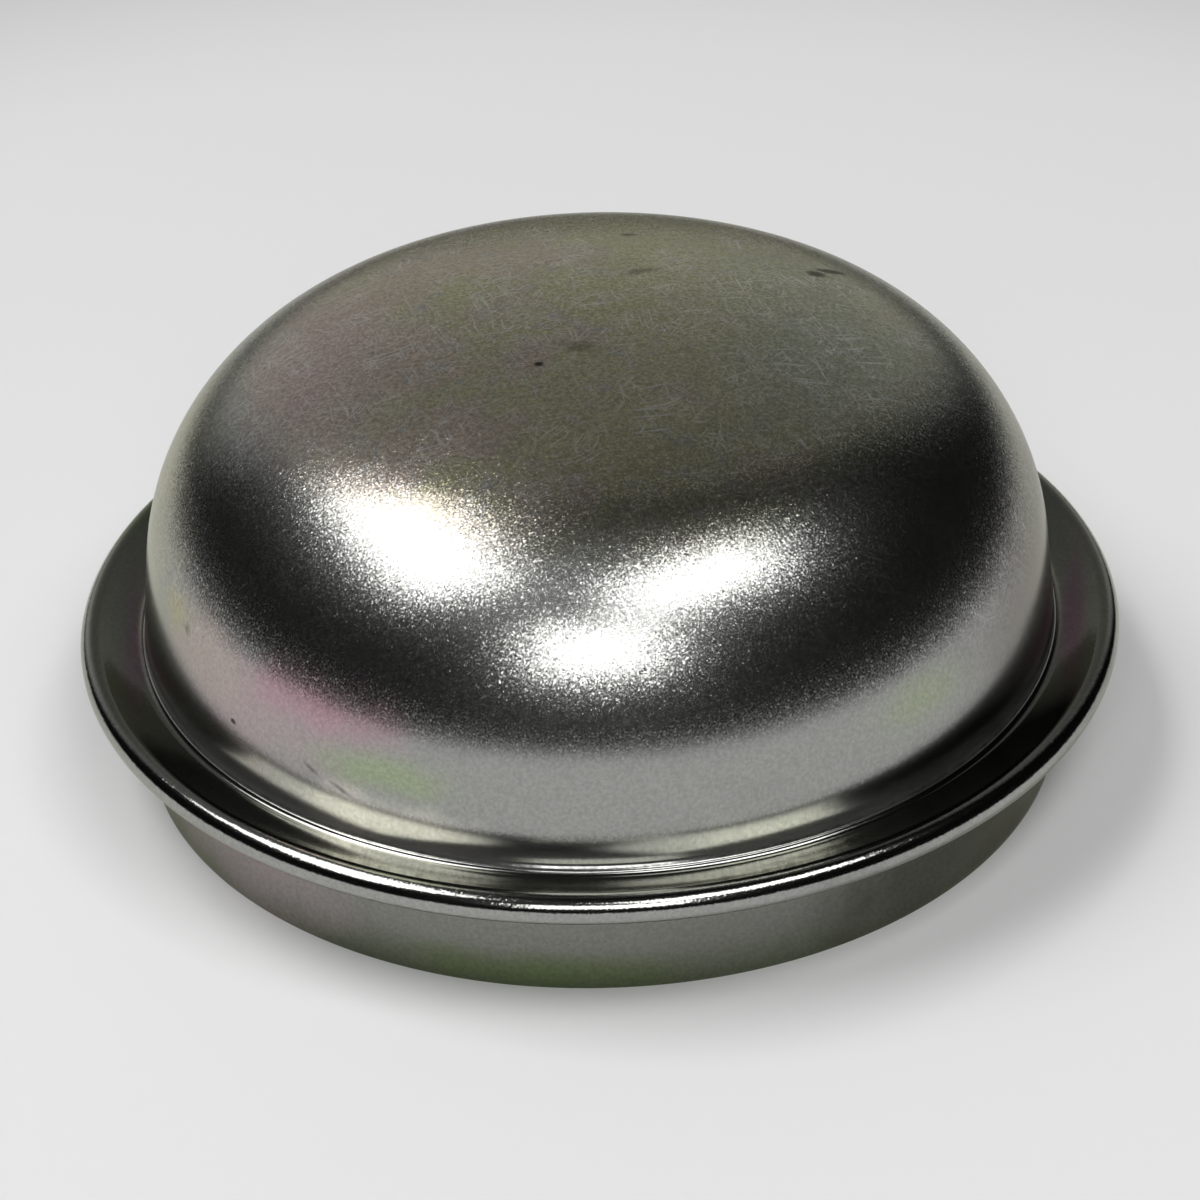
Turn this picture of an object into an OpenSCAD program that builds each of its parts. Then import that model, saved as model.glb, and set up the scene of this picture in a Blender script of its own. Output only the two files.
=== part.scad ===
// Pressed-in hub grease cap, one piece of zinc-plated sheet steel. The sheet is drawn into
// a domed cup, folded back on itself at the foot of the cup's wall into a double-walled
// flange, and turned down into the short skirt that is pressed into the hub.
// Z is the cap's axis, and the cut edge of the skirt lies on Z = 0. All sizes are in mm.

/* [Sheet] */
// Thickness of the sheet
sheet_t = 0.9; // [0.7:0.05:1]
// Gap left between the two walls of the folded flange
fold_gap = 0.2; // [0.1:0.05:0.3]

/* [Skirt] */
// Outside diameter of the skirt, a press fit in the hub
skirt_d = 62; // [58:0.5:66]
// Height of the skirt's straight wall, from the cut edge to the bend under the flange
skirt_h = 5.6; // [4.5:0.1:7]
// Outside radius of the bend between the skirt and the flange's lower wall
root_r = 0.5; // [0.3:0.1:0.8]
// Outside radius of the lead-in rolled on the skirt's lower edge
lead_r = 2.2; // [1.8:0.1:4]
// Angle through which the lead-in's outside turns in before the edge is trimmed flat
lead_angle = 15; // [8:1:20]

/* [Flange] */
// How far the folded flange stands out past the skirt
flange_w = 3.9; // [3:0.1:5]
// Angle at which both walls of the flange rise into the rim
rim_rise = 26; // [18:1:32]
// Angle at which the dished upper wall of the flange leaves the cup's foot
foot_rise = 0; // [-4:1:8]
// Outside radius of the tight bend at the cup's foot
foot_r = 0.15; // [0.1:0.05:0.4]

/* [Cup] */
// How far the foot of the cup's wall lies inside the skirt's outside
dome_step = 0.4; // [0.2:0.05:1]
// Overall height of the cap
cap_h = 31.2; // [28:0.1:36]
// Length of the cup's tapered wall, from the bend at its foot up to the shoulder
wall_l = 5.9; // [3:0.1:8]
// Angle at which the wall tapers in towards the shoulder
wall_taper = 6; // [1:0.5:8]
// Angle from the middle of the crown out to where it meets the shoulder
crown_angle = 17; // [12:0.5:20]

/* [Hidden] */
$fn = 180;
// Largest angle between two neighbouring points of an arc
arc_step = 4;

skirt_r = skirt_d / 2;
dome_r = skirt_r - dome_step;
// Outside radius of the hairpin fold at the flange's rim
rim_r = sheet_t + fold_gap / 2;
rim_x = skirt_r + flange_w - rim_r;

// A direction in the section, as an angle up from the outward radius
function way(a) = [cos(a), sin(a)];
// Points of an arc, also where the angle falls from a0 to a1
function arc(centre, r, a0, a1) =
    let (n = max(2, ceil(abs(a1 - a0) / arc_step)))
    [for (i = [0 : n]) centre + r * way(a0 + (a1 - a0) * i / n)];
function reversed(list) = [for (i = [len(list) - 1 : -1 : 0]) list[i]];

// The lower wall of the flange rises from the root bend, so that bend places the rim.
root_c = [skirt_r + root_r, skirt_h];
rim_lift = (rim_x - root_c.x) * tan(rim_rise);
rim_c = [rim_x, root_c.y + rim_lift + (rim_r + root_r) / cos(rim_rise)];

// The upper wall is one hollow arc, which turns from the rim's rise to the foot's over the
// width between them.
dish_span = rim_x - dome_r - rim_r * sin(rim_rise) - foot_r * (sin(foot_rise) + cos(wall_taper));
dish_r = dish_span / (sin(rim_rise) - sin(foot_rise));
dish_c = rim_c + (rim_r + dish_r) * way(90 + rim_rise);
foot_c = dish_c - (dish_r - foot_r) * way(90 + foot_rise);

// Tapered wall, shoulder and crown follow each other without a break in direction. The two
// radii follow from the cup's width and height, because the crown is centred on the axis.
wall_top = foot_c - foot_r * way(wall_taper) + wall_l * way(90 + wall_taper);
lean = tan(crown_angle / 2);
shoulder_turn = cos(wall_taper) - sin(crown_angle);
shoulder_r = (cap_h - wall_top.y - lean * wall_top.x)
    / (cos(crown_angle) - sin(wall_taper) - lean * shoulder_turn);
crown_r = (wall_top.x - shoulder_r * shoulder_turn) / sin(crown_angle);
shoulder_c = wall_top - shoulder_r * way(wall_taper);
crown_c = [0, cap_h - crown_r];

// The lead-in is rolled out of the skirt's own wall, and both its faces end on Z = 0.
lead_c = [skirt_r - lead_r, lead_r * sin(lead_angle)];
function lead_end(depth) = asin(lead_c.y / (lead_r - depth));

// One face of the sheet over the crown and down the cup to its foot, where depth is how far
// the face lies under the outside of the sheet
function cup_face(depth) = concat(
    arc(crown_c, crown_r - depth, 90, 90 - crown_angle),
    arc(shoulder_c, shoulder_r - depth, 90 - crown_angle, wall_taper));

// The same face round the bend at the foot, up the dish, round the hairpin at the rim and
// back under the flange
function flange_face(depth) = concat(
    arc(foot_c, foot_r + depth, 180 + wall_taper, 270 + foot_rise),
    arc(dish_c, dish_r + depth, 270 + foot_rise, 270 + rim_rise),
    arc(rim_c, rim_r - depth, 90 + rim_rise, rim_rise - 90),
    arc(root_c, root_r + depth, 90 + rim_rise, 180));

// The same face down the skirt to the trimmed edge
function skirt_face(depth) = arc(lead_c, lead_r - depth, 0, -lead_end(depth));

function sheet_face(depth) = concat(cup_face(depth), flange_face(depth), skirt_face(depth));

module grease_cap() {
    color([0.62, 0.62, 0.59])
        rotate_extrude()
            polygon(concat(sheet_face(0), reversed(sheet_face(sheet_t))));
}

grease_cap();
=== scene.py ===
"""A pressed-in hub grease cap of zinc-plated sheet steel, standing on a pale studio floor."""

from __future__ import annotations

import logging
import math
from dataclasses import dataclass, field
from typing import Any

import bpy
import numpy as np
from mathutils import Matrix, Vector


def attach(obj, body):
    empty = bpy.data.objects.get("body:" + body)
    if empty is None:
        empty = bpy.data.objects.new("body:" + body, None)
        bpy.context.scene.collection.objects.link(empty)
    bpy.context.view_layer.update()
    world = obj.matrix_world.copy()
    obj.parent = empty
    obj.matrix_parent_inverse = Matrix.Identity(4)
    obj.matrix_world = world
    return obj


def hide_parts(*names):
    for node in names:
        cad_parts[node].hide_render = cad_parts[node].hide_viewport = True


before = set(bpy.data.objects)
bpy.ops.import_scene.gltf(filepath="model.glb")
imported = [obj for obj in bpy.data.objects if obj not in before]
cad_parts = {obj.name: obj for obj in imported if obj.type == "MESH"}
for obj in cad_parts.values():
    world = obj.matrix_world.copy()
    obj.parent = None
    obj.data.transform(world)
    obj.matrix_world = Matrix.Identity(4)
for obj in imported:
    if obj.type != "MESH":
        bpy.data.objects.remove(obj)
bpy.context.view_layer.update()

LOG = logging.getLogger("grease_cap")
MM = 0.001
FLAT = "laid_flat"


def way(angle: float) -> np.ndarray:
    """Returns the direction at an angle up from the outward radius, in degrees."""
    turn = math.radians(angle)
    return np.array([math.cos(turn), math.sin(turn)])


@dataclass(frozen=True)
class Spacing:
    """How far apart the points of a section's arcs may lie."""

    turn: float
    length: float

    def arc(self, centre: np.ndarray, radius: float, start: float, end: float) -> np.ndarray:
        """Points of an arc: the centre plus the radius times the direction at even angles.

        Args:
            centre: The arc's centre, as radius and height.
            radius: The arc's radius in metres.
            start: The first angle in degrees.
            end: The last angle in degrees.

        Returns:
            An array of points, one row of radius and height each.
        """
        turn = abs(end - start)
        steps = max(turn / self.turn, math.radians(turn) * radius / self.length, 2.0)
        angles = np.radians(np.linspace(start, end, math.ceil(steps) + 1))
        return np.asarray(centre) + radius * np.stack([np.cos(angles), np.sin(angles)], axis=1)


@dataclass(frozen=True)
class SheetSection:
    """The drawn and folded sheet's section, from the middle of the crown to the skirt's edge."""

    sheet: float = 0.9 * MM
    fold_gap: float = 0.2 * MM
    skirt_radius: float = 31.0 * MM
    skirt_height: float = 5.6 * MM
    root_radius: float = 0.5 * MM
    lead_radius: float = 2.2 * MM
    lead_angle: float = 15.0
    flange_width: float = 3.9 * MM
    rim_rise: float = 26.0
    foot_rise: float = 0.0
    foot_radius: float = 0.15 * MM
    dome_step: float = 0.4 * MM
    cap_height: float = 31.2 * MM
    wall_length: float = 5.9 * MM
    wall_taper: float = 6.0
    crown_angle: float = 17.0

    def outline(self, outer: Spacing, inner: Spacing, straight: float) -> np.ndarray:
        """The closed outline of the sheet, down its outside and back up its inside.

        The flange's lower wall rises from the root bend and so places the rim. The upper wall is
        one hollow arc, which turns from the rim's rise to the foot's over the width between
        them. Tapered wall, shoulder and crown follow each other without a break. The two radii
        solve two equations: the crown's centre lies on the axis, and its top lies at the cap's
        height. Plating has built up a fine bead in the corner at the foot of the wall. The bead
        is an arc about the corner F - r (a + b) / (1 + a . b), where F and r are the centre and
        radius of the bend, and a and b are the ways to it from its two ends.

        Args:
            outer: The spacing of points on the outside.
            inner: The spacing of points on the inside.
            straight: The largest step along a straight stretch.

        Returns:
            Rows of radius and height, from the top of the crown to its underside.
        """
        rise, foot_rise, taper, crown_turn = np.radians(
            [self.rim_rise, self.foot_rise, self.wall_taper, self.crown_angle]
        )
        rim_r = self.sheet + self.fold_gap / 2
        rim_x = self.skirt_radius + self.flange_width - rim_r
        root = np.array([self.skirt_radius + self.root_radius, self.skirt_height])
        rim_z = root[1] + (rim_x - root[0]) * np.tan(rise) + (rim_r + self.root_radius) / np.cos(rise)
        rim = np.array([rim_x, rim_z])
        foot_part = self.foot_radius * (np.sin(foot_rise) + np.cos(taper))
        dish_span = rim_x - self.skirt_radius + self.dome_step - rim_r * np.sin(rise) - foot_part
        dish_r = dish_span / (np.sin(rise) - np.sin(foot_rise))
        dish = rim + (rim_r + dish_r) * way(90 + self.rim_rise)
        foot = dish - (dish_r - self.foot_radius) * way(90 + self.foot_rise)
        wall_way = way(self.wall_taper)
        dish_way = way(90 + self.foot_rise)
        corner = foot - self.foot_radius * (wall_way + dish_way) / (1 + wall_way @ dish_way)
        bead = float(np.linalg.norm(foot - self.foot_radius * dish_way - corner))
        wall_top = foot - self.foot_radius * wall_way + self.wall_length * way(90 + self.wall_taper)
        lean = np.tan(crown_turn / 2)
        turn = np.cos(taper) - np.sin(crown_turn)
        shoulder_r = self.cap_height - wall_top[1] - lean * wall_top[0]
        shoulder_r /= np.cos(crown_turn) - np.sin(taper) - lean * turn
        crown_r = (wall_top[0] - shoulder_r * turn) / np.sin(crown_turn)
        shoulder = wall_top - shoulder_r * wall_way
        crown = np.array([0.0, self.cap_height - crown_r])
        lead_z = self.lead_radius * math.sin(math.radians(self.lead_angle))
        lead = np.array([self.skirt_radius - self.lead_radius, lead_z])

        def face(depth: float, at: Spacing) -> np.ndarray:
            """One face of the sheet, which lies at a depth under its outside."""
            lead_end = math.degrees(math.asin(lead_z / (self.lead_radius - depth)))
            bend = at.arc(foot, self.foot_radius + depth, 180 + self.wall_taper, 270 + self.foot_rise)
            if depth == 0:
                bend = at.arc(corner, bead, 90 + self.wall_taper, self.foot_rise)
            return np.concatenate(
                [
                    at.arc(crown, crown_r - depth, 90, 90 - self.crown_angle),
                    at.arc(shoulder, shoulder_r - depth, 90 - self.crown_angle, self.wall_taper),
                    bend,
                    at.arc(dish, dish_r + depth, 270 + self.foot_rise, 270 + self.rim_rise),
                    at.arc(rim, rim_r - depth, 90 + self.rim_rise, self.rim_rise - 90),
                    at.arc(root, self.root_radius + depth, 90 + self.rim_rise, 180),
                    at.arc(lead, self.lead_radius - depth, 0, -lead_end),
                ]
            )

        points = np.concatenate([face(0, outer), face(self.sheet, inner)[::-1]])
        return fill_straights(drop_doubles(points), straight)


def drop_doubles(points: np.ndarray) -> np.ndarray:
    """Leaves out each point that lies within a micrometre of the one before it."""
    steps = np.linalg.norm(np.diff(points, axis=0), axis=1)
    return points[np.concatenate([[True], steps > 0.001 * MM])]


def fill_straights(points: np.ndarray, longest: float) -> np.ndarray:
    """Puts even points into each step of an outline that is longer than the longest allowed.

    Each step from a to b becomes a + (b - a) k / n for k from 0 to n - 1, where n is the number
    of pieces that the step needs.

    Args:
        points: Rows of radius and height.
        longest: The longest step to leave.

    Returns:
        The outline with its long steps divided.
    """
    steps = np.diff(points, axis=0)
    pieces = np.ceil(np.linalg.norm(steps, axis=1) / longest - 1e-6).astype(int)
    first = np.repeat(points[:-1], pieces, axis=0)
    span = np.repeat(steps / pieces[:, None], pieces, axis=0)
    count = np.arange(pieces.sum()) - np.repeat(np.cumsum(pieces) - pieces, pieces)
    return np.concatenate([first + span * count[:, None], points[-1:]])


@dataclass
class GreaseCap:
    """The whole cap as one closed surface of revolution."""

    section: SheetSection = field(default_factory=SheetSection)
    outer: Spacing = Spacing(turn=6.0, length=0.6 * MM)
    inner: Spacing = Spacing(turn=12.0, length=1.2 * MM)
    straight: float = 0.7 * MM
    sectors: int = 360

    def build(self) -> bpy.types.Object:
        """Builds the cap as a mesh object in the frame.

        Returns:
            The object, at the origin, with its place in its mesh.
        """
        outline = self.section.outline(self.outer, self.inner, self.straight)
        outline[[0, -1], 0] = 0.0
        points, corners, sizes = self.revolved(outline)
        mesh = bpy.data.meshes.new("grease_cap_sheet")
        mesh.vertices.add(len(points))
        mesh.vertices.foreach_set("co", points.astype(np.float32).ravel())
        mesh.loops.add(len(corners))
        mesh.loops.foreach_set("vertex_index", corners.astype(np.int32))
        mesh.polygons.add(len(sizes))
        mesh.polygons.foreach_set("loop_start", (np.cumsum(sizes) - sizes).astype(np.int32))
        mesh.polygons.foreach_set("use_smooth", np.ones(len(sizes), bool))
        mesh.update(calc_edges=True)
        mesh.validate()
        flat = mesh.attributes.new(FLAT, "FLOAT_VECTOR", "POINT")
        flat.data.foreach_set("vector", self.laid_flat(outline).ravel())
        self.sharpen_trimmed_edge(mesh)
        piece = bpy.data.objects.new("grease_cap_sheet", mesh)
        bpy.context.scene.collection.objects.link(piece)
        return piece

    def revolved(self, outline: np.ndarray) -> tuple[np.ndarray, np.ndarray, np.ndarray]:
        """The outline turned about the axis: x = r cos t, y = r sin t, z = h at even angles t.

        Args:
            outline: Rows of radius and height, whose first and last rows lie on the axis.

        Returns:
            The points, the corners of all faces in one row, and each face's corner count.
        """
        turn = np.arange(self.sectors) * (2 * math.pi / self.sectors)
        ring = outline[1:-1]
        x = ring[:, :1] * np.cos(turn)
        y = ring[:, :1] * np.sin(turn)
        z = np.repeat(ring[:, 1:], self.sectors, axis=1)
        rings = np.stack([x, y, z], axis=2).reshape(-1, 3)
        poles = np.array([[0, 0, outline[0, 1]], [0, 0, outline[-1, 1]]])
        points = np.concatenate([rings, poles])
        here = np.arange(self.sectors)
        after = (here + 1) % self.sectors
        row = np.arange(len(ring) - 1)[:, None] * self.sectors
        below = row + self.sectors
        quads = np.stack([row + here, below + here, below + after, row + after], axis=2)
        top, under = len(rings), len(rings) + 1
        last = (len(ring) - 1) * self.sectors
        lid = np.stack([np.full(self.sectors, top), here, after], axis=1)
        floor = np.stack([last + here, np.full(self.sectors, under), last + after], axis=1)
        corners = np.concatenate([quads.ravel(), lid.ravel(), floor.ravel()])
        sizes = np.concatenate([np.full(quads.shape[0] * quads.shape[1], 4), np.full(2 * self.sectors, 3)])
        return points, corners, sizes

    def laid_flat(self, outline: np.ndarray) -> np.ndarray:
        """The surface laid flat as a disc: x = s cos t, y = s sin t at the same angles t.

        Here s is the length along the outline from the nearer of its two ends, which both lie
        on the axis. Strokes drawn on the disc follow the cap's surface.

        Args:
            outline: Rows of radius and height.

        Returns:
            A place on the disc for each point of the mesh.
        """
        along = np.concatenate([[0.0], np.cumsum(np.linalg.norm(np.diff(outline, axis=0), axis=1))])
        nearer = np.minimum(along, along[-1] - along)[1:-1, None]
        turn = np.arange(self.sectors) * (2 * math.pi / self.sectors)
        across = np.stack([nearer * np.cos(turn), nearer * np.sin(turn)], axis=2).reshape(-1, 2)
        flat = np.zeros((len(across) + 2, 3), np.float32)
        flat[:-2, :2] = across
        return flat

    def sharpen_trimmed_edge(self, mesh: bpy.types.Mesh) -> None:
        """Marks the two corners of the trimmed edge as sharp: edges whose ends both lie on Z = 0."""
        ends = np.empty(len(mesh.edges) * 2, np.int32)
        mesh.edges.foreach_get("vertices", ends)
        height = np.empty(len(mesh.vertices) * 3, np.float32)
        mesh.vertices.foreach_get("co", height)
        low = height[2::3] < 0.001 * MM
        pairs = ends.reshape(-1, 2)
        along = np.abs(pairs[:, 0] - pairs[:, 1])
        ring_edge = (along == 1) | (along == self.sectors - 1)
        sharp = low[pairs].all(axis=1) & ring_edge
        mesh.attributes.new("sharp_edge", "BOOLEAN", "EDGE").data.foreach_set("value", sharp)


Tree = bpy.types.NodeTree
Socket = bpy.types.NodeSocket
Input = Socket | float | tuple


def add_node(tree: Tree, kind: str, inputs: dict[Any, Any], **settings: Any) -> bpy.types.Node:
    """Adds a node, sets its properties and fills its input sockets.

    Args:
        tree: The node tree.
        kind: The node's type name.
        inputs: Socket names or numbers, each with a constant or a socket to link from.
        **settings: Properties of the node itself.

    Returns:
        The node.
    """
    node = tree.nodes.new(kind)
    for name, value in settings.items():
        setattr(node, name, value)
    for name, value in inputs.items():
        if isinstance(value, Socket):
            tree.links.new(value, node.inputs[name])
        else:
            node.inputs[name].default_value = value
    return node


def calculate(tree: Tree, operation: str, first: Input, second: Input = 0.0) -> Socket:
    """Adds a Math node and returns its result."""
    return add_node(tree, "ShaderNodeMath", {0: first, 1: second}, operation=operation).outputs[0]


def step(
    tree: Tree, value: Input, start: float, end: float, low: float = 0.0, high: float = 1.0
) -> Socket:
    """Adds a smooth step, which runs from low to high while the value runs from start to end.

    Args:
        tree: The node tree.
        value: The value to follow.
        start: The value at which the step begins.
        end: The value at which it is complete.
        low: The result up to the start.
        high: The result from the end on.

    Returns:
        The step's result.
    """
    inputs = {"Value": value, "From Min": start, "From Max": end, "To Min": low, "To Max": high}
    return add_node(tree, "ShaderNodeMapRange", inputs, interpolation_type="SMOOTHSTEP").outputs["Result"]


def blend(tree: Tree, factor: Input, first: Input, second: Input, kind: str = "MIX") -> Socket:
    """Adds a colour mix of two colours, each a socket or three numbers.

    Args:
        tree: The node tree.
        factor: The share of the second colour.
        first: The first colour.
        second: The second colour.
        kind: The node's blend type.

    Returns:
        The mixed colour.
    """
    colours = [(*colour, 1.0) if isinstance(colour, tuple) else colour for colour in (first, second)]
    inputs = {0: factor, 6: colours[0], 7: colours[1]}
    return add_node(tree, "ShaderNodeMix", inputs, data_type="RGBA", blend_type=kind).outputs[2]


def noise(
    tree: Tree, point: Input, scale: float, detail: float = 2.0, rough: float = 0.5, flat: bool = False
) -> Socket:
    """Adds a noise of about 0 to 1 over a point.

    Args:
        tree: The node tree.
        point: The place to look up.
        scale: Waves for each metre.
        detail: How many octaves are added.
        rough: The weight of each octave against the one before it.
        flat: Whether the noise varies over X and Y alone.

    Returns:
        The noise's value.
    """
    inputs = {"Vector": point, "Scale": scale, "Detail": detail, "Roughness": rough}
    dimensions = "2D" if flat else "3D"
    return add_node(tree, "ShaderNodeTexNoise", inputs, noise_dimensions=dimensions).outputs[0]


def stretched(tree: Tree, point: Input, turn: float, length: float) -> Socket:
    """Adds a mapping that stretches a pattern along one axis.

    Args:
        tree: The node tree.
        point: The place to look up.
        turn: The angle in radians, about Z, from the X axis to the axis of the stretch.
        length: How many times longer the pattern becomes.

    Returns:
        The mapped point.
    """
    inputs = {"Vector": point, "Rotation": (0.0, 0.0, turn), "Scale": (length, 1.0, 1.0)}
    return add_node(tree, "ShaderNodeMapping", inputs, vector_type="TEXTURE").outputs[0]


@dataclass
class NodeGroup:
    """A shader node group that works out a pattern from a point on the cap."""

    name: str
    outputs: dict[str, str]

    def __post_init__(self) -> None:
        """Makes the empty group with its sockets."""
        self.tree = bpy.data.node_groups.new(self.name, "ShaderNodeTree")
        self.tree.interface.new_socket("Point", in_out="INPUT", socket_type="NodeSocketVector")
        for label, kind in self.outputs.items():
            self.tree.interface.new_socket(label, in_out="OUTPUT", socket_type=kind)
        self.point = self.tree.nodes.new("NodeGroupInput").outputs["Point"]
        self.end = self.tree.nodes.new("NodeGroupOutput")

    def put_out(self, label: str, socket: Socket) -> None:
        """Links a result to an output of the group."""
        self.tree.links.new(socket, self.end.inputs[label])

    def radius_and_height(self) -> tuple[Socket, Socket]:
        """The distance of the point from the cap's axis, and its height."""
        parts = add_node(self.tree, "ShaderNodeSeparateXYZ", {"Vector": self.point}).outputs
        flat = add_node(self.tree, "ShaderNodeCombineXYZ", {"X": parts["X"], "Y": parts["Y"]}).outputs[0]
        radius = add_node(self.tree, "ShaderNodeVectorMath", {0: flat}, operation="LENGTH").outputs["Value"]
        return radius, parts["Z"]

    def use(self, tree: Tree, point: Socket) -> bpy.types.bpy_prop_collection:
        """Puts the group into a tree and returns its outputs."""
        return add_node(tree, "ShaderNodeGroup", {"Point": point}, node_tree=self.tree).outputs


@dataclass(frozen=True)
class Patch:
    """A soft-edged patch on the cap, given by the place of its middle and its half axes.

    The edge tells at how many half axes from the middle the patch starts to fade, and at how
    many it is gone.
    """

    azimuth: float
    radius: float
    height: float
    reach: tuple[float, float, float]
    colour: tuple[float, float, float] = (0.02, 0.02, 0.02)
    amount: float = 1.0
    turn: float = 0.0
    yaw: float = 0.0
    unevenness: float = 1.2
    edge: tuple[float, float] = (0.1, 1.2)

    def mask(self, tree: Tree, point: Input, ragged: Input) -> Socket:
        """The patch's share at a point: 1 near its middle, 0 outside it.

        The point is turned into the patch's own axes and divided by its half axes along the
        circle, outwards and up. The yaw turns them about the upright and the turn about the way
        out. A ragged value of about 0 to 1 then shifts its edge.

        Args:
            tree: The node tree.
            point: The point on the cap.
            ragged: The noise that makes the edge uneven.

        Returns:
            The share.
        """
        side = math.radians(self.azimuth)
        place = (self.radius * math.sin(side), -self.radius * math.cos(side), self.height)
        away = add_node(tree, "ShaderNodeVectorMath", {0: point, 1: place}, operation="SUBTRACT").outputs[0]
        inputs = {
            "Vector": away,
            "Rotation": (0.0, math.radians(self.turn), side + math.radians(self.yaw)),
            "Scale": self.reach,
        }
        own = add_node(tree, "ShaderNodeMapping", inputs, vector_type="TEXTURE").outputs[0]
        far = add_node(tree, "ShaderNodeVectorMath", {0: own}, operation="LENGTH").outputs["Value"]
        shift = calculate(tree, "MULTIPLY", calculate(tree, "SUBTRACT", ragged, 0.5), self.unevenness)
        return step(tree, calculate(tree, "ADD", far, shift), *self.edge, self.amount, 0.0)


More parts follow.
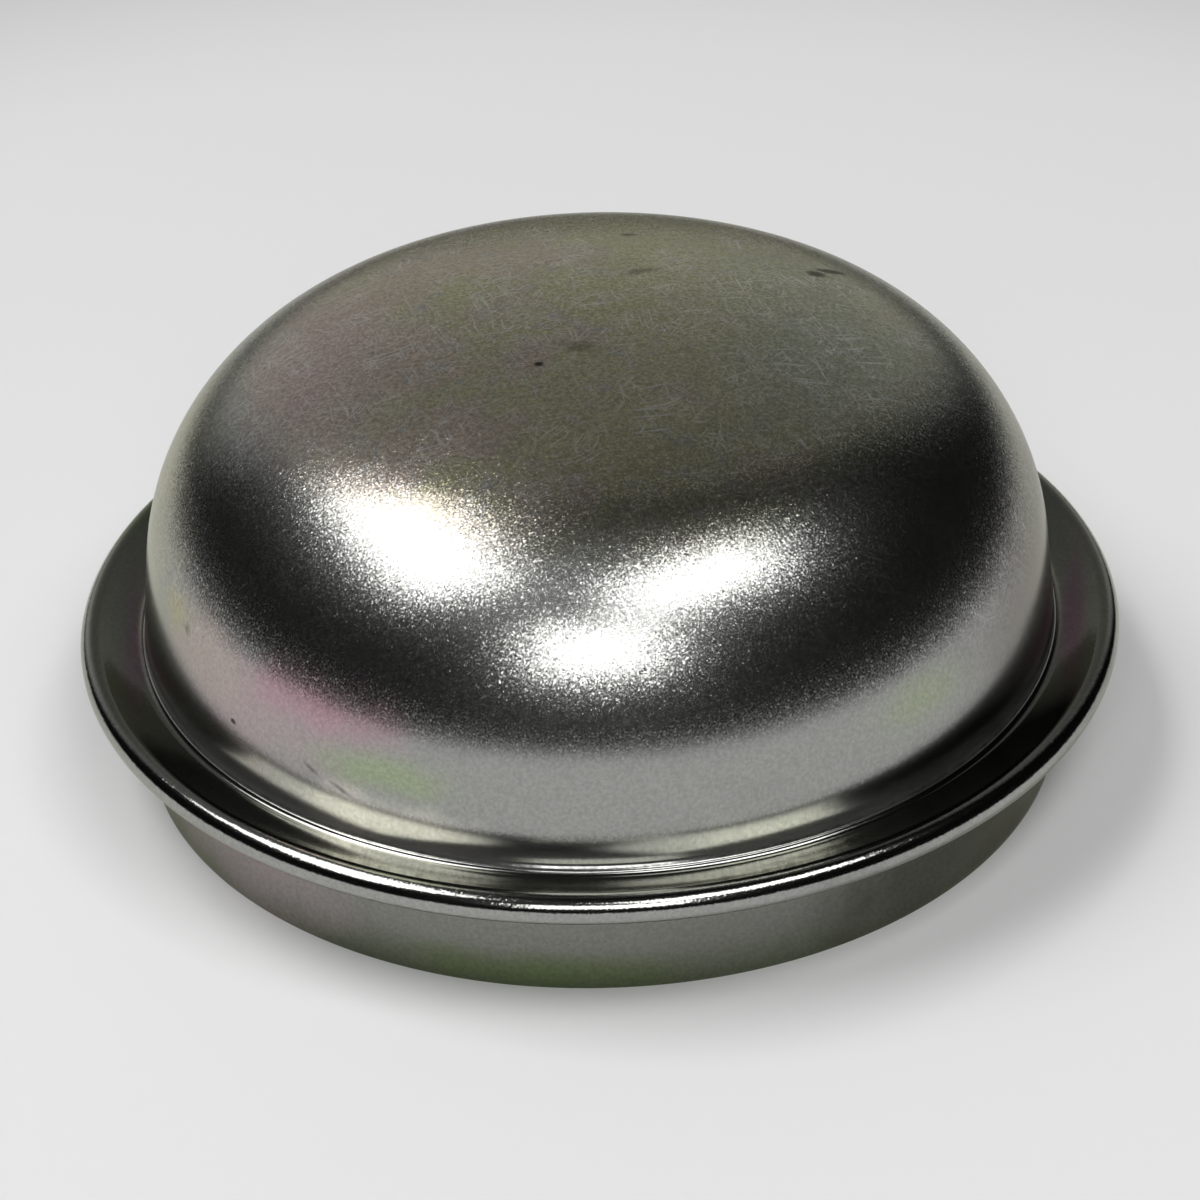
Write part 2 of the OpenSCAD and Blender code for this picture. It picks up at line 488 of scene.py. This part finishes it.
@dataclass(frozen=True)
class ZincPlate:
    """Bright zinc plating on drawn steel, scratched and stained by handling.

    The plating is grey where it is clean. The crown is olive and brown, and the wall has pink and
    green patches. Painted light and shade go into the colour as well: painted highlights on the
    wall's foot, the left side lighter and the right darker, painted shade that makes the flange
    nearly black, and painted shade that darkens the skirt towards the floor.
    """

    colour: tuple[float, float, float] = (0.35, 0.352, 0.335)
    olive: tuple[float, float, float] = (0.355, 0.345, 0.225)
    brown: tuple[float, float, float] = (0.38, 0.325, 0.27)
    blue_grey: tuple[float, float, float] = (0.335, 0.335, 0.31)
    # Painted shade: the colour that makes the flange nearly black.
    flange_shade_colour: tuple[float, float, float] = (0.115, 0.12, 0.1)
    # Painted shade: the skirt darkened under the rim, and more towards the floor with a green tint.
    skirt_shade_colour: tuple[float, float, float] = (0.22, 0.222, 0.2)
    skirt_low_shade_colour: tuple[float, float, float] = (0.15, 0.17, 0.12)
    film: float = 0.15
    edge_tint: tuple[float, float, float] = (0.78, 0.78, 0.7)
    dome_roughness: float = 0.245
    wall_roughness: float = 0.2
    flange_roughness: float = 0.13
    rim_roughness: float = 0.14
    skirt_roughness: float = 0.26
    foot_roughness: float = 0.15
    zone_names: tuple[str, ...] = (
        "Crown", "Dome", "Foot", "Flange", "Flange Shade", "Rim", "Skirt", "Low Skirt",
    )
    grain_scale: float = 7500.0
    grain_spark: tuple[float, float, float, float] = (0.4, 0.72, 0.7, 1.9)
    grain_tone: tuple[float, float, float, float] = (0.28, 0.72, 0.74, 1.26)
    wall_tone: float = 0.45
    dome_tilt: float = 0.31
    smooth_tilt: float = 0.04
    rim_tilt: float = 0.15
    scratch_colour: tuple[float, float, float] = (0.62, 0.62, 0.6)
    scratch_amount: float = 0.5
    scratch_bend: float = 2.2 * MM
    scratch_sets: tuple[tuple[float, float, float, float], ...] = (
        (0.3, 30.0, 6000.0, 0.68),
        (1.05, 12.0, 8000.0, 0.69),
        (1.9, 22.0, 6400.0, 0.69),
        (2.6, 11.0, 8400.0, 0.69),
    )
    mark_and_shade_colour: tuple[float, float, float] = (0.02, 0.02, 0.018)
    mark_and_shade_amount: float = 0.9
    dark_lines: tuple[tuple[tuple[float, float], float], ...] = (
        # A dark line in the corner at the wall's foot.
        ((30.68 * MM, 9.0 * MM), 0.85),
        # Painted shade: a dark line under the rim, where it meets the skirt.
        ((34.6 * MM, 7.7 * MM), 0.9),
    )
    stains_and_painted_light: tuple[Patch, ...] = (
        Patch(-50, 29.8 * MM, 14.8 * MM, (12 * MM, 5 * MM, 4.4 * MM), (0.43, 0.355, 0.36), 0.9),
        Patch(-36, 29.5 * MM, 17.0 * MM, (8 * MM, 5 * MM, 2.8 * MM), (0.46, 0.31, 0.345), 1.0),
        Patch(-58, 29.7 * MM, 16.5 * MM, (6 * MM, 4 * MM, 3.5 * MM), (0.44, 0.38, 0.35), 0.8),
        Patch(-26, 30.0 * MM, 13.9 * MM, (6.5 * MM, 4 * MM, 1.8 * MM), (0.34, 0.40, 0.265), 1.0),
        Patch(41, 29.9 * MM, 15.2 * MM, (5.5 * MM, 4 * MM, 2.2 * MM), (0.34, 0.39, 0.27), 0.8),
        Patch(-66, 29.4 * MM, 17.0 * MM, (3 * MM, 4 * MM, 1.8 * MM), (0.42, 0.39, 0.25), 0.8),
        # Painted light: the left side of the wall and shoulder made lighter, with a beige tint.
        Patch(-92, 28.0 * MM, 21.0 * MM, (15 * MM, 6 * MM, 9.0 * MM), (0.5, 0.49, 0.4), 0.9),
        # Painted shade: the right side of the wall and of the dome made darker, the dome's with a green
        # tint.
        Patch(75, 29.5 * MM, 16.0 * MM, (20 * MM, 5 * MM, 8.0 * MM), (0.23, 0.215, 0.215), 0.9),
        Patch(85, 15.0 * MM, 29.0 * MM, (18 * MM, 12 * MM, 6.0 * MM), (0.275, 0.285, 0.23), 0.85),
        Patch(-85, 18.0 * MM, 28.5 * MM, (11 * MM, 7 * MM, 4.0 * MM), (0.43, 0.35, 0.34), 0.8),
        # Painted highlights: two bright patches on the wall's foot, where the lamps' reflections fall.
        Patch(-27, 30.5 * MM, 10.6 * MM, (11 * MM, 1.5 * MM, 1.9 * MM), (0.7, 0.68, 0.61), 1.0),
        Patch(19, 30.5 * MM, 10.2 * MM, (7 * MM, 1.5 * MM, 1.5 * MM), (0.6, 0.6, 0.53), 0.9),
        Patch(-125, 33.0 * MM, 9.0 * MM, (14 * MM, 1.6 * MM, 3.0 * MM), (0.1, 0.13, 0.07), 0.8),
        Patch(-85, 31.3 * MM, 8.9 * MM, (10 * MM, 1.0 * MM, 2.0 * MM), (0.13, 0.085, 0.11), 0.8),
        Patch(82, 31.8 * MM, 9.0 * MM, (11 * MM, 1.0 * MM, 2.0 * MM), (0.13, 0.075, 0.1), 0.8),
        # A pink tint with painted light: the skirt made lighter on the left.
        Patch(-48, 31.0 * MM, 3.5 * MM, (12 * MM, 2 * MM, 5.0 * MM), (0.31, 0.27, 0.27), 0.9),
        Patch(-8, 31.0 * MM, 1.0 * MM, (14 * MM, 2 * MM, 1.8 * MM), (0.14, 0.18, 0.09), 0.9),
        # Painted shade: the skirt made darker on the right.
        Patch(48, 31.0 * MM, 3.0 * MM, (24 * MM, 4 * MM, 8.0 * MM), (0.1, 0.102, 0.085), 1.0),
    )
    marks: tuple[Patch, ...] = (
        Patch(
            119.0, 17.3 * MM, 28.75 * MM, (0.75 * MM, 0.6 * MM, 0.9 * MM),
            yaw=-110, unevenness=0.7, edge=(0.5, 1.1),
        ),
        Patch(
            120.3, 18.7 * MM, 28.3 * MM, (1.3 * MM, 0.45 * MM, 0.9 * MM),
            yaw=-108, unevenness=0.7, edge=(0.5, 1.1),
        ),
        Patch(
            168.0, 13.3 * MM, 29.8 * MM, (0.6 * MM, 0.45 * MM, 0.9 * MM),
            (0.06, 0.06, 0.07), 0.9, yaw=-168,
        ),
        Patch(
            149.0, 6.7 * MM, 30.9 * MM, (1.5 * MM, 0.6 * MM, 0.9 * MM),
            amount=0.55, yaw=-125, unevenness=1.6,
        ),
        Patch(
            -10.0, 4.6 * MM, 31.0 * MM, (1.1 * MM, 0.8 * MM, 0.9 * MM),
            amount=0.4, yaw=10, edge=(0.4, 1.1),
        ),
        Patch(
            -27.7, 7.1 * MM, 30.8 * MM, (0.45 * MM, 0.36 * MM, 0.9 * MM),
            yaw=28, unevenness=0.6, edge=(0.4, 1.0),
        ),
        Patch(
            -50.4, 30.2 * MM, 13.0 * MM, (0.36 * MM, 0.8 * MM, 0.24 * MM),
            unevenness=0.5, edge=(0.4, 1.0),
        ),
        Patch(
            -37.0, 30.2 * MM, 12.6 * MM, (0.9 * MM, 0.8 * MM, 0.2 * MM),
            amount=0.6, turn=25, unevenness=0.8,
        ),
        Patch(
            -32.5, 30.3 * MM, 11.9 * MM, (1.0 * MM, 0.8 * MM, 0.2 * MM),
            amount=0.6, turn=20, unevenness=0.8,
        ),
        Patch(-62.0, 29.6 * MM, 16.6 * MM, (0.5 * MM, 0.8 * MM, 0.4 * MM), amount=0.5, unevenness=1.4),
    )

    def zones(self) -> NodeGroup:
        """Makes the group that tells the parts of the cap apart by radius and height.

        The painted shade on the flange is lighter where it faces forward.
        """
        floats = dict.fromkeys(self.zone_names, "NodeSocketFloat")
        group = NodeGroup("plate_zones", floats)
        tree = group.tree
        radius, height = group.radius_and_height()
        forward = add_node(tree, "ShaderNodeSeparateXYZ", {"Vector": group.point}).outputs["Y"]
        group.put_out("Crown", step(tree, height, 25.5 * MM, 29.0 * MM))
        group.put_out("Dome", step(tree, height, 15.0 * MM, 20.0 * MM))
        group.put_out("Foot", step(tree, height, 11.0 * MM, 13.0 * MM, 1.0, 0.0))
        outside = step(tree, radius, 30.75 * MM, 31.1 * MM)
        upper = step(tree, height, 8.0 * MM, 8.4 * MM)
        inner = step(tree, radius, 34.0 * MM, 34.5 * MM, 1.0, 0.0)
        flange = calculate(tree, "MULTIPLY", calculate(tree, "MULTIPLY", outside, upper), inner)
        group.put_out("Flange", flange)
        # Painted shade on the flange, full at the sides and back, weaker at the front.
        sideways = step(tree, forward, -26 * MM, -10 * MM, 0.6)
        group.put_out("Flange Shade", calculate(tree, "MULTIPLY", flange, sideways))
        group.put_out("Rim", step(tree, radius, 33.6 * MM, 34.1 * MM))
        low = step(tree, height, 6.6 * MM, 7.2 * MM, 1.0, 0.0)
        group.put_out("Skirt", low)
        group.put_out("Low Skirt", step(tree, height, 0.2 * MM, 3.6 * MM, 1.0, 0.0))
        return group

    def lines_and_film(self) -> NodeGroup:
        """Makes the group that puts out two dark lines and the dull film at the wall's foot.

        One line lies in the foot's corner and one under the rim; the one under the rim is painted
        shade. The film is densest at the height of the corner and fades out up the wall.
        """
        group = NodeGroup("plate_lines_and_film", {"Mask": "NodeSocketFloat", "Film": "NodeSocketFloat"})
        tree = group.tree
        radius, height = group.radius_and_height()
        place = add_node(tree, "ShaderNodeCombineXYZ", {"X": radius, "Y": height}).outputs[0]
        ragged = calculate(tree, "MULTIPLY", noise(tree, group.point, 900.0, 2.0, 0.7), 0.25 * MM)
        total: Input = 0.0
        for line, amount in self.dark_lines:
            inputs = {0: place, 1: (*line, 0.0)}
            away = add_node(tree, "ShaderNodeVectorMath", inputs, operation="DISTANCE").outputs["Value"]
            near = step(tree, calculate(tree, "ADD", away, ragged), 0.12 * MM, 0.3 * MM, amount, 0.0)
            total = calculate(tree, "MAXIMUM", near, total)
        group.put_out("Mask", total)
        wall = step(tree, radius, 30.66 * MM, 30.7 * MM, self.film, 0.0)
        low = step(tree, height, 9.4 * MM, 10.8 * MM, 1.0, 0.0)
        group.put_out("Film", calculate(tree, "MULTIPLY", wall, low))
        return group

    def grain(self) -> NodeGroup:
        """Makes the group that puts out the tilt of the fine grain and the grain of tone.

        The tilt is a colour noise less its middle, so that each grain leans its own way. A
        second noise makes some grains lean much further than others, which gives sparks.
        """
        group = NodeGroup("plate_grain", {"Tilt": "NodeSocketVector", "Tone": "NodeSocketFloat"})
        tree = group.tree
        inputs = {"Vector": group.point, "Scale": self.grain_scale, "Detail": 1.0, "Roughness": 0.6}
        leans = add_node(tree, "ShaderNodeTexNoise", inputs).outputs["Color"]
        inputs = {0: leans, 1: (0.5, 0.5, 0.5)}
        centred = add_node(tree, "ShaderNodeVectorMath", inputs, operation="SUBTRACT")
        fine = noise(tree, group.point, 3600.0, 2.0, 0.75)
        spark = step(tree, fine, *self.grain_spark)
        inputs = {0: centred.outputs[0], "Scale": spark}
        group.put_out("Tilt", add_node(tree, "ShaderNodeVectorMath", inputs, operation="SCALE").outputs[0])
        group.put_out("Tone", step(tree, fine, *self.grain_tone))
        return group

    def scratches(self) -> NodeGroup:
        """Makes the group that puts out the share of fine scratches, in four sets of strokes.

        The group's point is one on the cap's surface laid flat. A wide noise bends the strokes
        a little. Each set is a noise stretched along one way, of which only the peaks are kept.
        A second wide noise leaves strokes out in places.
        """
        group = NodeGroup("plate_scratches", {"Mask": "NodeSocketFloat"})
        tree = group.tree
        inputs = {"Vector": group.point, "Scale": 190.0, "Detail": 1.0}
        bends = add_node(tree, "ShaderNodeTexNoise", inputs, noise_dimensions="2D").outputs["Color"]
        inputs = {0: bends, 1: (self.scratch_bend,) * 3, 2: group.point}
        bent = add_node(tree, "ShaderNodeVectorMath", inputs, operation="MULTIPLY_ADD").outputs[0]
        total: Input = 0.0
        for turn, length, scale, peak in self.scratch_sets:
            line = noise(tree, stretched(tree, bent, turn, length), scale, 0.0, flat=True)
            total = calculate(tree, "MAXIMUM", step(tree, line, peak, peak + 0.1), total)
        wide = noise(tree, group.point, 230.0, flat=True)
        group.put_out("Mask", calculate(tree, "MULTIPLY", total, step(tree, wide, 0.34, 0.66, 0.3, 1.0)))
        return group

    def stained(self, zones: NodeGroup) -> NodeGroup:
        """Makes the group that puts out the plating's colour at each place, painted light and shade
        included.

        Args:
            zones: The group that tells the parts of the cap apart.

        Returns:
            The group.
        """
        group = NodeGroup("plate_colour", {"Colour": "NodeSocketColor", "Mark": "NodeSocketFloat"})
        tree = group.tree
        zone = zones.use(tree, group.point)
        wide = noise(tree, group.point, 170.0, 3.0, 0.6)
        mottled = noise(tree, group.point, 620.0, 3.0, 0.7)
        side = add_node(tree, "ShaderNodeSeparateXYZ", {"Vector": group.point}).outputs["X"]
        leftward = step(tree, side, 10 * MM, -18 * MM, -0.12, 0.12)
        browner = calculate(tree, "ADD", wide, leftward)
        crown = blend(tree, step(tree, browner, 0.42, 0.62), self.olive, self.brown)
        crown = blend(tree, step(tree, mottled, 0.52, 0.75), crown, self.blue_grey)
        colour = blend(tree, zone["Crown"], self.colour, crown)
        # Painted shade: the flange nearly black, the skirt darker, most of all near the floor.
        colour = blend(tree, zone["Flange Shade"], colour, self.flange_shade_colour)
        colour = blend(tree, zone["Skirt"], colour, self.skirt_shade_colour)
        skirt_low = calculate(tree, "MULTIPLY", zone["Skirt"], zone["Low Skirt"])
        colour = blend(tree, skirt_low, colour, self.skirt_low_shade_colour)
        for colour_patch in self.stains_and_painted_light:
            colour = blend(tree, colour_patch.mask(tree, group.point, wide), colour, colour_patch.colour)
        group.put_out("Colour", colour)
        fine = noise(tree, group.point, 2600.0, 2.0)
        mark: Input = 0.0
        for spot in self.marks:
            mark = calculate(tree, "MAXIMUM", spot.mask(tree, group.point, fine), mark)
        group.put_out("Mark", mark)
        return group

    def material(self) -> bpy.types.Material:
        """Makes the finish as a material."""
        material = bpy.data.materials.new("zinc_plate")
        material.use_nodes = True
        tree = material.node_tree
        tree.nodes.clear()
        point = add_node(tree, "ShaderNodeTexCoord", {}).outputs["Object"]
        zone_group = self.zones()
        zone = zone_group.use(tree, point)
        grain = self.grain().use(tree, point)
        flat = add_node(tree, "ShaderNodeAttribute", {}, attribute_name=FLAT).outputs["Vector"]
        scratch = self.scratches().use(tree, flat)["Mask"]
        plate = self.stained(zone_group).use(tree, point)
        lines_and_film = self.lines_and_film().use(tree, point)
        dark = calculate(tree, "MAXIMUM", lines_and_film["Mask"], plate["Mark"])
        toned = step(tree, zone["Dome"], 0.0, 1.0, self.wall_tone, 1.0)
        colour = blend(tree, toned, plate["Colour"], grain["Tone"], "MULTIPLY")
        scratch = calculate(tree, "MULTIPLY", scratch, zone["Dome"])
        share = calculate(tree, "MULTIPLY", scratch, self.scratch_amount)
        colour = blend(tree, share, colour, self.scratch_colour)
        # Dark marks on the plating, a dark line in the foot's corner, and painted shade under the rim.
        share = calculate(tree, "MULTIPLY", dark, self.mark_and_shade_amount)
        colour = blend(tree, share, colour, self.mark_and_shade_colour)
        rough = step(tree, zone["Dome"], 0.0, 1.0, self.wall_roughness, self.dome_roughness)
        parts = (
            ("Foot", self.foot_roughness),
            ("Flange", self.flange_roughness),
            ("Rim", self.rim_roughness),
            ("Skirt", self.skirt_roughness),
        )
        for label, value in parts:
            mixed = add_node(tree, "ShaderNodeMix", {0: zone[label], 2: rough, 3: value}, data_type="FLOAT")
            rough = mixed.outputs[0]
        strength = step(tree, zone["Dome"], 0.0, 1.0, self.smooth_tilt, self.dome_tilt)
        on_rim = calculate(tree, "MULTIPLY", zone["Rim"], self.rim_tilt)
        strength = calculate(tree, "MAXIMUM", strength, on_rim)
        inputs = {0: grain["Tilt"], "Scale": strength}
        tilt = add_node(tree, "ShaderNodeVectorMath", inputs, operation="SCALE").outputs[0]
        upright = add_node(tree, "ShaderNodeNewGeometry", {}).outputs["Normal"]
        leaned = add_node(tree, "ShaderNodeVectorMath", {0: upright, 1: tilt}, operation="ADD").outputs[0]
        normal = add_node(tree, "ShaderNodeVectorMath", {0: leaned}, operation="NORMALIZE").outputs[0]
        shader = add_node(
            tree,
            "ShaderNodeBsdfPrincipled",
            {
                "Base Color": colour,
                "Metallic": calculate(tree, "SUBTRACT", 1.0, lines_and_film["Film"]),
                "Roughness": rough,
                "Specular Tint": (*self.edge_tint, 1.0),
                "Normal": normal,
            },
        )
        add_node(tree, "ShaderNodeOutputMaterial", {"Surface": shader.outputs["BSDF"]})
        return material


def heading(azimuth: float, elevation: float) -> Vector:
    """Direction from the cap, with azimuth 0 towards the camera and positive to its right."""
    turn, rise = math.radians(azimuth), math.radians(elevation)
    return Vector((math.sin(turn) * math.cos(rise), -math.cos(turn) * math.cos(rise), math.sin(rise)))


@dataclass(frozen=True)
class SoftLamp:
    """A rectangular diffused lamp that faces the cap."""

    name: str
    azimuth: float
    elevation: float
    width: float
    height: float
    radiance: float
    distance: float = 0.9
    aim: tuple[float, float, float] = (0.0, 0.0, 0.015)

    def place(self) -> bpy.types.Object:
        """Adds the lamp, whose power is its radiance times pi times its area.

        Returns:
            The lamp's object.
        """
        lamp = bpy.data.lights.new(self.name, "AREA")
        lamp.shape = "RECTANGLE"
        lamp.size = 2 * self.distance * math.tan(math.radians(self.width / 2))
        lamp.size_y = 2 * self.distance * math.tan(math.radians(self.height / 2))
        lamp.energy = self.radiance * math.pi * lamp.size * lamp.size_y
        holder = bpy.data.objects.new(self.name, lamp)
        direction = heading(self.azimuth, self.elevation)
        holder.location = Vector(self.aim) + direction * self.distance
        holder.rotation_euler = direction.to_track_quat("Z", "Y").to_euler()
        bpy.context.scene.collection.objects.link(holder)
        return holder


@dataclass(frozen=True)
class Studio:
    """A pale floor, three soft lamps, and surroundings that are dark but for a grey wall behind."""

    floor_colour: tuple[float, float, float] = (0.88, 0.88, 0.88)
    # Painted pool of light: the floor's colour fades to this dark away from the cap.
    floor_painted_dark_colour: tuple[float, float, float] = (0.12, 0.12, 0.12)
    floor_painted_light_pool: tuple[float, float] = (0.1, 0.22)
    floor_size: float = 8.0
    hidden_hole: float = 29.0 * MM
    dark: float = 0.003
    grey: float = 0.31
    below: float = 0.8
    wall_azimuth: float = -175.0
    wall_elevation: float = 28.0
    wall_cosines: tuple[float, float] = (0.67, 0.9)
    wall_top: float = 0.8
    wall_gain: tuple[float, float] = (1.95, 0.72)
    lamps: tuple[SoftLamp, ...] = (
        SoftLamp("left_lamp", azimuth=-90, elevation=60, width=42, height=25, radiance=4.8),
        SoftLamp("right_lamp", azimuth=43, elevation=62, width=34, height=19, radiance=4.8),
        SoftLamp("front_lamp", azimuth=-1, elevation=38, width=28, height=22, radiance=4.8),
    )

    def build(self) -> None:
        """Builds the floor, the surroundings and the lamps."""
        self.lay_floor()
        self.surround()
        for lamp in self.lamps:
            lamp.place()

    def lay_floor(self) -> None:
        """Lays the floor under the cap as one square.

        It is clear from below and inside the skirt, so that the underside of the cap is seen and
        lit in views from below. Its colour fades to dark with the distance from the cap, a painted
        pool of light.
        """
        half = self.floor_size / 2
        mesh = bpy.data.meshes.new("studio_floor")
        corners = [(-half, -half, 0), (half, -half, 0), (half, half, 0), (-half, half, 0)]
        mesh.from_pydata(corners, [], [(0, 1, 2, 3)])
        floor = bpy.data.objects.new("studio_floor", mesh)
        bpy.context.scene.collection.objects.link(floor)
        material = bpy.data.materials.new("pale_floor")
        material.use_nodes = True
        tree = material.node_tree
        shader = tree.nodes["Principled BSDF"]
        point = add_node(tree, "ShaderNodeTexCoord", {}).outputs["Object"]
        reach = add_node(tree, "ShaderNodeVectorMath", {0: point}, operation="LENGTH").outputs["Value"]
        # Painted pool of light: the floor's colour fades to dark away from the cap.
        fade = step(tree, reach, *self.floor_painted_light_pool)
        colour = blend(tree, fade, self.floor_colour, self.floor_painted_dark_colour)
        behind = add_node(tree, "ShaderNodeNewGeometry", {}).outputs["Backfacing"]
        seen = calculate(tree, "SUBTRACT", 1.0, behind)
        solid = calculate(tree, "GREATER_THAN", reach, self.hidden_hole)
        tree.links.new(colour, shader.inputs["Base Color"])
        tree.links.new(calculate(tree, "MULTIPLY", seen, solid), shader.inputs["Alpha"])
        shader.inputs["Roughness"].default_value = 0.9
        shader.inputs["Specular IOR Level"].default_value = 0.0
        mesh.materials.append(material)

    def surround(self) -> None:
        """Sets the world: dark all round, a grey wall behind the cap, and pale under the floor."""
        world = bpy.data.worlds.new("studio")
        bpy.context.scene.world = world
        world.use_nodes = True
        tree = world.node_tree
        tree.nodes.clear()
        direction = add_node(tree, "ShaderNodeTexCoord", {}).outputs["Generated"]
        towards = heading(self.wall_azimuth, self.wall_elevation)
        facing = add_node(tree, "ShaderNodeVectorMath", {0: direction, 1: towards}, operation="DOT_PRODUCT")
        wall = step(tree, facing.outputs["Value"], *self.wall_cosines, self.dark, self.grey)
        height = add_node(tree, "ShaderNodeSeparateXYZ", {"Vector": direction}).outputs["Z"]
        gain = step(tree, height, 0.0, self.wall_top, *self.wall_gain)
        level = calculate(tree, "MULTIPLY", wall, gain)
        under = calculate(tree, "MULTIPLY", calculate(tree, "LESS_THAN", height, -0.03), self.below)
        light = calculate(tree, "MAXIMUM", level, under)
        background = add_node(tree, "ShaderNodeBackground", {"Color": light, "Strength": 1.0})
        add_node(tree, "ShaderNodeOutputWorld", {"Surface": background.outputs["Background"]})


@dataclass(frozen=True)
class Viewpoint:
    """The camera's stand: a long lens that looks down at the cap from the front."""

    aim: tuple[float, float, float] = (0.08 * MM, 0.0, 8.96 * MM)
    distance: float = 274.5 * MM
    elevation: float = 32.46
    roll: float = 1.81
    lens: float = 122.0

    def place(self) -> bpy.types.Object:
        """Adds the camera, turned about its own line of sight by the roll, and makes it active.

        Returns:
            The camera's object.
        """
        camera = bpy.data.cameras.new("studio_camera")
        camera.lens = self.lens
        camera.sensor_width = 36.0
        camera.clip_start = 0.01
        direction = heading(0.0, self.elevation)
        holder = bpy.data.objects.new("studio_camera", camera)
        roll = Matrix.Rotation(math.radians(-self.roll), 3, "Z")
        turn = direction.to_track_quat("Z", "Y").to_matrix() @ roll
        stand = Matrix.Translation(Vector(self.aim) + direction * self.distance)
        holder.matrix_world = stand @ turn.to_4x4()
        bpy.context.scene.collection.objects.link(holder)
        bpy.context.scene.camera = holder
        return holder


def main() -> None:
    """Builds the cap, dresses it and sets it in the studio."""
    logging.basicConfig(level=logging.INFO, format="%(message)s")
    bpy.context.scene.view_settings.view_transform = "Standard"
    cap = GreaseCap().build()
    cap.data.materials.append(ZincPlate().material())
    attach(cap, "root")
    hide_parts("grease_cap")
    LOG.info("%s: %d faces", cap.name, len(cap.data.polygons))
    Studio().build()
    Viewpoint().place()


if __name__ == "__main__":
    main()
